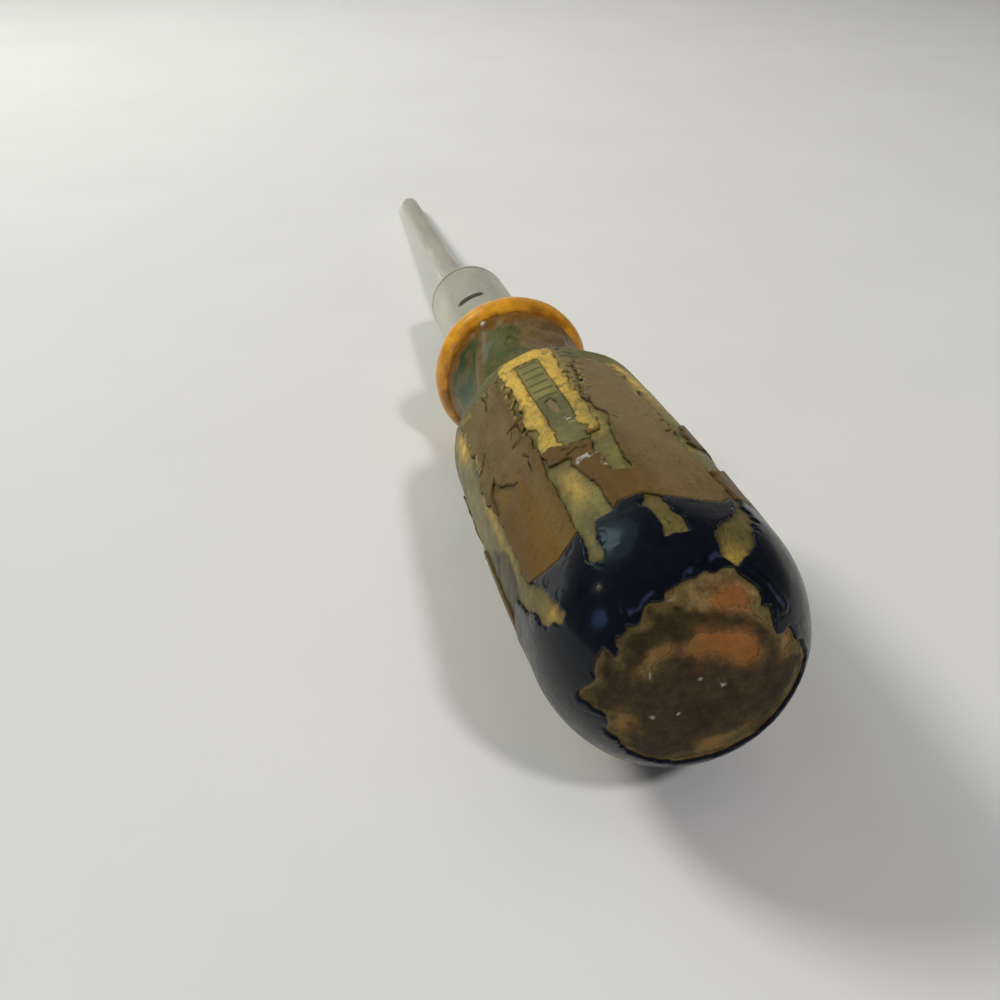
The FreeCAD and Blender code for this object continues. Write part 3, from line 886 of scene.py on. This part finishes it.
def undercoat_colour(spot, edge):
    yellow = sum(strength * blob(spot, *where) for strength, *where in YELLOW_BLOBS)
    green = soft(spot.x + 1.2 * spot.noise(3.0, 195), 54.5, 57.5)
    top_rim = soft(spot.x, 56.5, 58.5) * soft(spot.from_angle(-34), 0, 1) * soft(-spot.from_angle(-4), 0, 1)
    dark_blobs = 0.6 * blob(spot, -31, 28, 6, 3) + 0.5 * blob(spot, -33, 14.5, 6, 2.4)
    beside = np.exp(-np.clip(-border_depth(spot), 0, None) / 0.8) * (0.7 + 0.5 * spot.noise(1.1, 194))
    gap = soft(spot.from_angle(-5), -0.8, 0.4) * soft(-spot.from_angle(7), -0.4, 1.0)
    crumbly = soft(spot.x, 36, 42) * gap
    crumbs = spot.noise(0.45, 177)
    # crevice and reach darken the undercoat beside the edges of the films and the navy coat: painted shade in
    # the crevice there, mixed with dirt
    crevice = union(*[flute_depth(spot, index) for index in range(FLAT_COUNT)], navy_depth(spot))
    reach = 0.15 + 0.16 * soft(spot.x, 26, 34)

    def in_chip(name, share):
        return share * soft(patch(spot, BUTT_CHIPS[name]), -1.0, 0.5)

    return layered(
        spot, OLIVE,
        (OLIVE_DARK, 0.30 + 0.45 * spot.fractal(3.6, 191, stretch=0.5)),
        (BROWN_AMBER, 0.85 * soft(patch(spot, FILM_NEAR_CHIP), -0.4, 0.2)),
        (CHIP_BROWN, in_chip("left", 0.65)),
        (CHIP_BROWN, in_chip("right", 0.75) * soft(spot.x, 5.0, 7.0)),
        (CHIP_BROWN, in_chip("centre", 0.60)),
        (BROWN_GREY, 0.9 * soft(patch(spot, PANEL_ISLAND), -0.3, 0.0)),
        (YELLOW, yellow * (0.75 + 0.5 * spot.noise(1.3, 193))),
        (OLIVE_GREEN, 0.75 * green),
        (YELLOW, 0.55 * top_rim),
        (OLIVE_DARK, dark_blobs),
        (OLIVE_DARK, 0.35 * spot.crease(2.1, 197)),
        (YELLOW_DULL, 0.8 * beside * soft(spot.from_angle(-12), -1.0, 1.0)),
        (BROWN_GREY, 1.4 * crumbly * crumbs),
        (GRIME_AND_SHADE, 1.6 * crumbly * (-crumbs - 0.15)),
        # painted shade and dirt beside the films' edges
        (GRIME_AND_SHADE, np.exp(-np.clip(-crevice, 0, None) / reach) * (0.7 + 0.5 * spot.noise(1.5, 199))),
        (KHAKI_LIGHT, 0.5 * np.exp(-edge / 0.6) * (spot.s < 17)),
    )


def primer_shape(spot, edge):
    wear = 0.06 * spot.fractal(1.8, 201) + 0.03 * spot.noise(0.45, 205)
    top = -PRIMER_DEPTH + wear - 0.14 * np.exp(-edge / 0.35)
    return top, -CORE_DEPTH - EMBED


def bare_plastic(spot):
    """The scraped core on the butt: orange above the middle, paler and dirtier round about."""
    side, up = spot.butt.T
    pale = np.maximum(soft(-up, -3.4, 0.0), np.maximum(soft(-side, 2.0, 4.5), soft(side, 5.6, 7.4)))
    pale = pale * 0.7 + 0.2 * spot.noise(0.9, 227) + 0.5 * unit(spot.noise(2.1, 229))
    return layered(spot, ORANGE, (KHAKI_LIGHT, pale))


def primer_colour(spot, edge):
    rim = soft(-worn_butt(spot) + 0.6 * spot.noise(1.2, 215), -1.7, -0.3)
    lobe = soft(butt_patch(spot, PALE_LOBE) + ragged(spot, 0.6, 217), -0.4, 0.7)
    scraped = np.exp(-edge / (0.65 + 0.3 * spot.noise(0.9, 220)))
    flecks = unit(near_butt_lines(spot, WHITE_FLECKS, 0.26) * 1.6)
    return layered(
        spot, KHAKI,
        (KHAKI_LIGHT, 0.045 + 0.05 * spot.fractal(3.0, 211) + 0.05 * spot.noise(0.8, 216)),
        (KHAKI_LIGHT, (0.60 + 0.25 * spot.noise(1.0, 214)) * rim),
        (KHAKI_LIGHT * 1.35, (0.75 + 0.25 * spot.noise(0.9, 218)) * lobe),
        (bare_plastic(spot), 0.85 * scraped),
        (GRIME_AND_SHADE, 0.35 * spot.crease(2.6, 213)),
        (FLECK_WHITE, flecks * soft(spot.noise(0.4, 219), -0.4, 0.3)),
    )


def core_colour(spot):
    back = soft(BEAD_X - spot.x, 0.9, 2.9) * soft(spot.noise(1.8, 225), -0.3, 0.5)
    return layered(
        spot, AMBER,
        (AMBER_DARK, 0.12 + 0.30 * spot.fractal(2.6, 221)),
        # painted shade: the core darkens towards its underside
        (AMBER_DARK, 0.35 * soft(-np.cos(np.radians(spot.angle + 20)), 0.1, 0.8)),
        (AMBER_DARK, 0.8 * back),
        # the nose, hidden under the ferrule, is painted near black as shade
        (GRIME_AND_SHADE * 0.1, spot.x > NOSE_START_X),
        (bare_plastic(spot), spot.s < BARE_BUTT_END),
    )


def neck_depth(spot):
    end = BEAD_BACK_X - 0.35 + 0.45 * spot.noise(3.0, 231) + 0.2 * spot.noise(1.1, 232)
    return end - spot.x


def neck_shape(spot, edge):
    runs = near_lines(spot, NECK_RUNS, NECK_RUN_WIDTH)
    drop = 0.45 * blob(spot, -28, 85.8, 3.2, 0.8)
    lift = 0.06 * spot.fractal(3.5, 241) + 0.26 * runs * runs * (3 - 2 * runs) + drop
    top = -PRIMER_DEPTH + (PRIMER_DEPTH + lift) * rounded_edge(edge, 0.4)
    return top, -PRIMER_DEPTH - 2 * EMBED


def neck_colour(spot, edge):
    swirl = spot.noise(2.3, 261, stretch=1.6)
    brown_side = soft(spot.from_angle(-6) + 1.4 * spot.noise(2.2, 257), 0, 1.4)
    behind = soft(spot.noise(4.4, 259), 0.05, 0.4) * (np.abs(spot.angle) > 95)
    runs = unit(near_lines(spot, NECK_RUNS, NECK_RUN_WIDTH) * 1.4)
    return layered(
        spot, GREEN,
        (OLIVE * 0.7, 0.30 + 0.6 * spot.fractal(4.0, 251)),
        (TEAL, 0.95 * blob(spot, -80, 81, 18, 4.6)),
        (GREEN_DARK, 0.8 * blob(spot, -62, 84.6, 16, 2.0) + 0.6 * blob(spot, 32, 83, 8, 2.4)),
        (NECK_BROWN, brown_side * soft(-spot.from_angle(72), 0, 2)),
        (NECK_BROWN, 0.9 * behind),
        (NECK_BROWN, 0.5 * soft(swirl, 0.25, 0.6) * soft(spot.x, 78, 82)),
        (GREEN_DARK, 0.8 * thin_line(swirl - 0.25)),
        (NECK_BROWN, 0.85 * runs),
        (AMBER_DARK * 0.6, 0.7 * soft(spot.x + 0.9 * spot.noise(2.0, 263), 84.0, 85.2)),
        # painted highlight: a white spot on the drop where the run ends
        (WHITE, 0.7 * soft(blob(spot, -28, 85.9, 2.6, 0.6), 0.45, 0.75)),
        # painted shade and dirt along the glaze's rim against the bead
        (GRIME_AND_SHADE, 0.55 * np.exp(-edge / 0.18)),
    )


# --- The core: grip, neck, bare bead and nose, with the blade's hole down its middle ---
def core_piece(name):
    angles = np.arange(-180.0, 180.0, 1.0)
    columns = len(angles)
    turn = np.radians(angles)
    bead_start = NECK.reach(BEAD_BACK_X)
    grip_rows = np.r_[np.arange(0.3, 14, 0.4), np.arange(14.4, GRIP.length[-1], 1.0)]
    rows = [on_grip(np.full(columns, s), angles, -CORE_DEPTH) for s in grip_rows]
    for s in np.arange(2.5, bead_start, 0.8):
        rows.append(on_neck(np.full(columns, s), angles, -PRIMER_DEPTH - EMBED))
    for s in np.arange(bead_start + 0.02, NECK.length[-1], 0.12):
        x, r = on_neck(np.full(columns, s), angles, 0.0)
        solid = around(x, r, turn)
        dents = 0.05 * fractal(solid, 2.6, 271) - 0.12 * soft(noise(solid, 1.1, 275), 0.45, 0.8)
        rows.append((x, r + dents))
    nose = [(BEAD_FRONT_X, NOSE_RADIUS), (CRIMP_START_X, NOSE_RADIUS), (CRIMP_START_X, CRIMP_RADIUS),
            (CRIMP_END_X, CRIMP_RADIUS), (CRIMP_END_X, NOSE_RADIUS), (NOSE_END_X, NOSE_RADIUS),
            (NOSE_END_X, TANG_RADIUS), (TANG_END_X, TANG_RADIUS)]
    for x, r in nose:
        rows.append((np.full(columns, x), np.full(columns, r)))
    x = np.concatenate([row[0] for row in rows])
    r = np.concatenate([row[1] for row in rows])
    angle = np.tile(angles, len(rows))
    ends = [tool_point(CORE_DEPTH, 0, 0), tool_point(TANG_END_X, 0, 0)]
    points = np.concatenate([place(x, r, angle), ends])

    corner = np.arange(len(x)).reshape(len(rows), columns)
    after = np.roll(corner, -1, 1)
    quads = np.stack([corner[:-1], after[:-1], after[1:], corner[1:]], 2).reshape(-1, 4)
    butt, bottom = len(x), len(x) + 1
    faces = quads.tolist()
    faces += [[b, a, butt] for a, b in zip(corner[0].tolist(), after[0].tolist())]
    faces += [[a, b, bottom] for a, b in zip(corner[-1].tolist(), after[-1].tolist())]
    mesh = bpy.data.meshes.new(name)
    mesh.from_pydata(points.tolist(), [], faces)

    past_grip = np.full(len(rows) - len(grip_rows), GRIP.length[-1])
    spot = Spot(GRIP, np.repeat(np.r_[grip_rows, past_grip], columns), angle)
    spot.x = x
    spot.solid = around(x, r, np.radians(angle))
    gloss = (spot.s > BARE_BUTT_END) & (x < NOSE_START_X)
    colour = np.concatenate([core_colour(spot), [ORANGE, AMBER]])
    return finished_piece(name, mesh, colour, np.r_[gloss * 1.0, 0.0, 0.0])


# --- Materials ---
class Surface:
    """A procedural material, built up node by node. Its pattern coordinates are in millimetres."""

    def __init__(self, name):
        self.material = bpy.data.materials.new(name)
        self.material.use_nodes = True
        self.tree = self.material.node_tree
        self.shader = next(n for n in self.tree.nodes if n.type == "BSDF_PRINCIPLED")
        self.place = self.mapped((1, 1, 1))

    def node(self, kind, inputs=(), **settings):
        node = self.tree.nodes.new(kind)
        for key, value in settings.items():
            setattr(node, key, value)
        for key, value in dict(inputs).items():
            self.feed(node.inputs[key], value)
        return node

    def feed(self, socket, value):
        if isinstance(value, bpy.types.NodeSocket):
            self.tree.links.new(value, socket)
        else:
            socket.default_value = value

    def mapped(self, stretch):
        coordinates = self.node("ShaderNodeTexCoord").outputs["Object"]
        scale = tuple(v / MM for v in stretch)
        return self.node("ShaderNodeMapping", {"Vector": coordinates, "Scale": scale}).outputs["Vector"]

    def noise(self, size, detail=4.0, roughness=0.6, place=None):
        return self.node("ShaderNodeTexNoise", {
            "Vector": place or self.place, "Scale": 1.0 / size, "Detail": detail, "Roughness": roughness,
        }).outputs["Fac"]

    def remap(self, value, low, high, to_low, to_high):
        return self.node("ShaderNodeMapRange", {
            "Value": value, "From Min": low, "From Max": high, "To Min": to_low, "To Max": to_high,
        }).outputs["Result"]

    def math(self, operation, a, b):
        return self.node("ShaderNodeMath", {0: a, 1: b}, operation=operation).outputs[0]

    def times(self, a, b):
        return self.math("MULTIPLY", a, b)

    def blend(self, amount, a, b):
        node = self.node("ShaderNodeMix", data_type="RGBA")
        colours = [s for s in node.inputs if s.type == "RGBA"]
        self.feed(node.inputs["Factor"], amount)
        for socket, colour in zip(colours, (a, b)):
            self.feed(socket, colour if isinstance(colour, bpy.types.NodeSocket) else (*colour, 1.0))
        return next(s for s in node.outputs if s.type == "RGBA")

    def scaled(self, colour, factor):
        return self.node("ShaderNodeVectorMath", {0: colour, "Scale": factor}, operation="SCALE").outputs[0]

    def cracks(self, size, width):
        """1 along the borders of cells about `size` across, 0 inside them."""
        bent = self.node("ShaderNodeTexNoise", {"Vector": self.place, "Scale": 1.2 / size}).outputs["Color"]
        moved = self.node("ShaderNodeVectorMath", {0: bent, 1: (0.7 * size,) * 3}, operation="MULTIPLY")
        at = self.node("ShaderNodeVectorMath", {0: self.place, 1: moved.outputs[0]}, operation="ADD")
        inputs = {"Vector": at.outputs[0], "Scale": 1.0 / size}
        cells = self.node("ShaderNodeTexVoronoi", inputs, feature="DISTANCE_TO_EDGE")
        return self.remap(cells.outputs["Distance"], 0.0, width / size, 1.0, 0.0)

    def relief(self, height, depth_mm):
        bump = self.node("ShaderNodeBump", {"Height": height, "Distance": depth_mm * MM, "Strength": 1.0})
        self.feed(self.shader.inputs["Normal"], bump.outputs["Normal"])

    def finish(self, colour, roughness, **more):
        self.feed(self.shader.inputs["Base Color"], colour)
        self.feed(self.shader.inputs["Roughness"], roughness)
        for key, value in more.items():
            self.feed(self.shader.inputs[key.replace("_", " ").title().replace("Ior", "IOR")], value)
        return self.material


def paint(name, grain, speckle, rough, clear, clear_rough, depth_mm, cracks=()):
    """Old paint: its own colour with fine grain, specks and crazing, under a worn clear gloss."""
    surface = Surface(name)
    own = surface.node("ShaderNodeAttribute", attribute_name="paint").outputs["Color"]
    along = surface.mapped((0.35, 1.0, 1.0))
    broad = surface.noise(1.3, 6.0, 0.62)
    streaks = surface.noise(0.30, 4.0, 0.60, along)
    fine = surface.noise(0.11, 3.0, 0.55)
    shade = surface.times(
        surface.remap(broad, 0.30, 0.70, 1 - grain, 1 + grain),
        surface.remap(streaks, 0.30, 0.70, 1 - 0.7 * grain, 1 + 0.7 * grain),
    )
    specks = surface.remap(fine, 0.60, 0.70, 1.0, 1.0 - speckle)
    colour = surface.scaled(own, surface.times(shade, specks))
    height = surface.math("ADD", surface.times(fine, 0.35), surface.times(streaks, 0.65))
    if cracks:
        size, tone, share = cracks
        lines = surface.cracks(size, 0.05)
        here = surface.remap(surface.noise(2.6, 2.0), 1 - share, 1 - share + 0.1, 0.0, 1.0)
        lines = surface.times(lines, here)
        colour = surface.scaled(colour, surface.remap(lines, 0.0, 1.0, 1.0, tone))
        height = surface.math("SUBTRACT", height, surface.times(lines, 0.8))
    surface.relief(height, depth_mm)
    roughness = surface.remap(broad, 0.30, 0.70, rough - 0.08, rough + 0.12)
    smear = surface.remap(surface.noise(3.4, 3.0), 0.35, 0.65, clear_rough - 0.03, clear_rough + 0.08)
    return surface.finish(colour, roughness, specular_ior_level=0.12, coat_weight=clear, coat_roughness=smear)


def amber_plastic(name):
    """Clear amber plastic seen in depth, with dark flecks, fine scratches and worn gloss."""
    surface = Surface(name)
    painted = surface.node("ShaderNodeAttribute", attribute_name="paint")
    own, gloss = painted.outputs["Color"], painted.outputs["Alpha"]
    clouds = surface.noise(2.2, 5.0, 0.6)
    fine = surface.noise(0.16, 3.0, 0.5)
    shade = surface.remap(clouds, 0.30, 0.70, 0.80, 1.18)
    colour = surface.scaled(own, surface.times(shade, surface.remap(fine, 0.62, 0.72, 1.0, 0.55)))
    scratches = surface.cracks(1.7, 0.03)
    surface.relief(surface.math("SUBTRACT", surface.times(fine, 0.5), surface.times(scratches, 0.5)), 0.03)
    return surface.finish(
        colour, surface.remap(clouds, 0.30, 0.70, 0.24, 0.42), subsurface_weight=0.25,
        subsurface_scale=0.0015, specular_ior_level=surface.times(gloss, 0.2),
        coat_weight=surface.times(gloss, 0.4), coat_roughness=surface.remap(fine, 0.3, 0.7, 0.10, 0.2),
    )


def steel(name, tone, dull, stretch, stain):
    """Plated steel with fine scratches along one way, dull patches and a few dark stains."""
    surface = Surface(name)
    scratch = surface.noise(0.10, 5.0, 0.7, surface.mapped(stretch))
    patches = surface.noise(6.0, 4.0, 0.6, surface.mapped((0.3, 1, 1)))
    dirt = surface.remap(surface.noise(0.55, 5.0, 0.68), 0.62, 0.70, 0.0, stain)
    colour = surface.blend(surface.remap(patches, 0.38, 0.62, 0.0, 1.0), tone, dull)
    colour = surface.scaled(colour, surface.remap(scratch, 0.3, 0.7, 0.92, 1.06))
    colour = surface.blend(dirt, colour, (0.10, 0.075, 0.045))
    surface.relief(scratch, 0.006)
    dulled = surface.remap(patches, 0.35, 0.65, 0.29, 0.42)
    roughness = surface.math("ADD", dulled, surface.times(dirt, 0.3))
    return surface.finish(colour, roughness, metallic=surface.remap(dirt, 0.0, 1.0, 0.7, 0.3))


def dress(obj, material):
    obj.data.materials.clear()
    obj.data.materials.append(material)


# For each material slot: grain, specks, roughness, clear gloss and its roughness, relief in
# millimetres, and the crazing's cell size in millimetres, tone and share of the surface
PAINTS = {
    "butt_navy": (0.25, 0.5, 0.35, 0.36, 0.11, 0.005),
    "film_brown": (0.11, 0.35, 0.50, 0.14, 0.24, 0.022, (1.5, 0.5, 0.55)),
    "undercoat_olive": (0.20, 0.45, 0.50, 0.22, 0.28, 0.036, (1.5, 0.5, 0.5)),
    "primer_khaki": (0.32, 0.55, 0.65, 0.06, 0.40, 0.070),
    "label_yellow": (0.14, 0.40, 0.50, 0.16, 0.30, 0.035, (0.9, 0.45, 0.55)),
    "label_green": (0.18, 0.35, 0.45, 0.22, 0.26, 0.030, (1.2, 0.6, 0.4)),
    "neck_green": (0.22, 0.35, 0.38, 0.22, 0.12, 0.020, (3.0, 0.55, 0.35)),
}
MATERIALS = {slot: paint(slot, *values) for slot, values in PAINTS.items()}
MATERIALS["amber_plastic"] = amber_plastic("amber_plastic")


# --- The pieces ---
def add_piece(obj, node, slot):
    dress(obj, MATERIALS[slot])
    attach(obj, "root")
    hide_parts(node)


def add_coat(node, slot, name, s_span, angles, step, wrap, *functions):
    """A film on the grip, cut from a grid with steps in millimetres along it and these angles round it."""
    grid = polar_grid(*s_span, step, angles)
    add_piece(solid_film(name, GRIP, on_grip, grid, wrap, *functions), node, slot)


def spread(start, end, step_mm):
    """Angles from start to end that lie step_mm apart on the grip."""
    return np.arange(start, end, step_mm / MM_PER_DEGREE)


def ridge_angles(fine, coarse, reach=22):
    """Angles round the grip, close together within reach of a ridge and further apart on the flats."""
    turns = []
    for index in range(FLAT_COUNT):
        ridge = flat_angle(index - 0.5)
        turns.append(np.arange(ridge - reach, ridge + reach, fine))
        turns.append(np.arange(ridge + reach, ridge + FLAT_PITCH - reach, coarse))
    return np.concatenate(turns)


add_piece(core_piece("handle_core_visual"), "handle_core", "amber_plastic")

GRIP_END = GRIP.reach(SHOULDER_FACE_X)
# Spans along the grip's outline, which take in each film with a little to spare
DOME_FILM_START, DOME_FILM_END = 7.6, 32.0
FLUTE_SPAN = (19.0, 71.0)
LABEL_SPAN = (GRIP.reach(29.0), GRIP.reach(60.0))
primer_end = solid_film(
    "primer_butt", GRIP, on_grip, square_grid(PRIMER_BUTT_END + 0.2, 0.17), False,
    primer_depth, primer_shape, primer_colour,
)
add_piece(primer_end, "primer_coat", "primer_khaki")
add_coat(
    "primer_coat", "primer_khaki", "primer_barrel", (PRIMER_BUTT_END - 0.1, GRIP_END),
    np.arange(-180.0, 180.0, 2.0), 1.0, True, everywhere, primer_shape, primer_colour,
)
add_coat(
    "undercoat", "undercoat_olive", "undercoat_visual", (DOME_FILM_START, GRIP_END),
    ridge_angles(1.1, 4.0), 0.315, True, undercoat_depth, undercoat_shape, undercoat_colour,
)
navy_columns = round(2 * math.pi * DOME_RADIUS / 0.21)
add_coat(
    "butt_dip", "butt_navy", "butt_dip_visual", (DOME_FILM_START, DOME_FILM_END),
    np.arange(-180.0, 180.0, 360.0 / navy_columns), 0.2, True, navy_depth, navy_shape, navy_colour,
)
# How far each film's grid goes either side of its flat, in degrees, and its step in millimetres
FLUTE_GRIDS = [(52, 32, 0.17), (58, 60, 0.3), (30, 32, 0.3), (30, 32, 0.3), (52, 32, 0.17)]
for index, (before, beyond, step) in enumerate(FLUTE_GRIDS):
    node = "flute_film_%d" % (index + 1)
    add_coat(
        node, "film_brown", node + "_visual", FLUTE_SPAN,
        spread(flat_angle(index) - before, flat_angle(index) + beyond, step), step, False,
        *(partial(function, index=index) for function in (flute_depth, film_shape, film_colour)),
    )
add_coat(
    "label_border", "label_yellow", "label_border_visual", LABEL_SPAN, spread(-42.0, 2.0, 0.15), 0.15, False,
    border_depth, border_shape, border_colour,
)
add_coat(
    "label_panel", "label_green", "label_panel_visual", LABEL_SPAN, spread(-29.0, -11.0, 0.12), 0.12, False,
    panel_depth, panel_shape, panel_colour,
)
neck_grid = polar_grid(0.0, NECK.reach(BEAD_BACK_X + 0.6), 0.25, np.arange(-180.0, 180.0, 1.25))
neck = solid_film("neck_glaze_visual", NECK, on_neck, neck_grid, True, neck_depth, neck_shape, neck_colour)
add_piece(neck, "neck_glaze", "neck_green")

STEELS = {
    "blade_shank": ("blade_steel", (0.66, 0.63, 0.52), (0.57, 0.55, 0.45), (0.06, 1, 1), 0.4),
    "ferrule": ("ferrule_steel", (0.69, 0.66, 0.54), (0.62, 0.59, 0.48), (1, 0.3, 0.3), 0.12),
}
for node, values in STEELS.items():
    dress(frame["nodes"][node], steel(*values))


# --- Floor, light and camera ---
FLOOR_HALF_WIDTH, FLOOR_NEAR_X, BEND_START_X, BEND_RADIUS, BACKDROP_HEIGHT = 2.5, -2.5, 0.75, 0.5, 0.85


def sweep():
    """A pale floor that curves up into a backdrop beyond the tool."""
    profile = [(FLOOR_NEAR_X, 0.0)]
    for t in np.radians(np.linspace(0, 90, 25)):
        profile.append((BEND_START_X + BEND_RADIUS * math.sin(t), BEND_RADIUS * (1 - math.cos(t))))
    profile.append((BEND_START_X + BEND_RADIUS, BACKDROP_HEIGHT))
    points = [(x, y, z) for x, z in profile for y in (-FLOOR_HALF_WIDTH, FLOOR_HALF_WIDTH)]
    faces = [(2 * i, 2 * i + 2, 2 * i + 3, 2 * i + 1) for i in range(len(profile) - 1)]
    mesh = bpy.data.meshes.new("floor")
    mesh.from_pydata(points, [], faces)
    mesh.polygons.foreach_set("use_smooth", np.ones(len(mesh.polygons), bool))
    surface = Surface("pale_paper")
    tone = surface.remap(surface.noise(60.0, 3.0), 0.3, 0.7, 0.0, 1.0)
    colour = surface.blend(tone, (0.80, 0.775, 0.75), (0.83, 0.805, 0.78))
    surface.relief(surface.noise(0.6, 4.0), 0.02)
    obj = linked("floor", mesh)
    dress(obj, surface.finish(colour, 0.6))
    return obj


GRIP_MIDDLE = (-0.06, 0.0, 0.02)
BACKDROP_FOOT = (1.1, 0.0, 0.3)


def lamp(name, azimuth, elevation, distance, size, power, colour, in_gloss=False, aim=GRIP_MIDDLE):
    """An area light that stands off the grip's middle and is aimed at it or elsewhere. Metres and degrees."""
    a, e = math.radians(azimuth), math.radians(elevation)
    way = Vector((math.cos(e) * math.cos(a), math.cos(e) * math.sin(a), math.sin(e)))
    data = bpy.data.lights.new(name, "AREA")
    data.shape = "DISK"
    data.size = size
    data.energy = power
    data.color = colour
    obj = linked(name, data)
    obj.location = Vector(GRIP_MIDDLE) + way * distance
    obj.rotation_euler = (obj.location - Vector(aim)).to_track_quat("Z", "Y").to_euler()
    obj.visible_glossy = in_gloss


sweep()
lamp("key", 51, 41, 0.95, 0.25, 4.7, (1.0, 0.965, 0.86))
lamp("front", -156, 51, 0.95, 0.11, 2.9, (0.97, 0.98, 1.0))
lamp("overhead", -100, 74, 1.0, 0.8, 1.0, (1.0, 0.99, 0.97))
lamp("left_wash", 120, 50, 0.9, 0.5, 0.25, (1.0, 0.99, 0.97))
lamp("backdrop_wash", 0, 55, 0.9, 0.5, 1.9, (1.0, 0.99, 0.96), aim=BACKDROP_FOOT)
lamp("glint", 37, 42, 0.95, 0.32, 0.65, (0.74, 1.0, 0.98), in_gloss=True)
lamp("glow", 37, 44, 0.95, 0.62, 0.55, (0.50, 1.0, 0.95), in_gloss=True)
lamp("small_lamp", 82, 34, 0.9, 0.04, 0.10, (1.0, 0.90, 0.70), in_gloss=True)
lamp("window", 103, 20, 1.1, 0.24, 0.45, (0.26, 0.45, 1.0), in_gloss=True)

world = bpy.data.worlds.new("studio")
bpy.context.scene.world = world
world.use_nodes = True
background = next(n for n in world.node_tree.nodes if n.type == "BACKGROUND")
background.inputs["Color"].default_value = (1.0, 0.98, 0.95, 1.0)
background.inputs["Strength"].default_value = 0.06
bpy.context.scene.view_settings.view_transform = "Standard"

CAMERA_OFFSET = np.array([-66.2, 35.6, 71.2])  # from the butt's middle
CAMERA_AIM = Vector((0.8149, -0.1754, -0.5525))
camera_data = bpy.data.cameras.new("camera")
camera_data.sensor_width = 36.0
camera_data.lens = 35.7
camera_data.clip_start = 0.01
camera = linked("camera", camera_data)
camera.location = Vector(BUTT + CAMERA_OFFSET * MM)
camera.rotation_euler = CAMERA_AIM.to_track_quat("-Z", "Y").to_euler()
bpy.context.scene.camera = camera
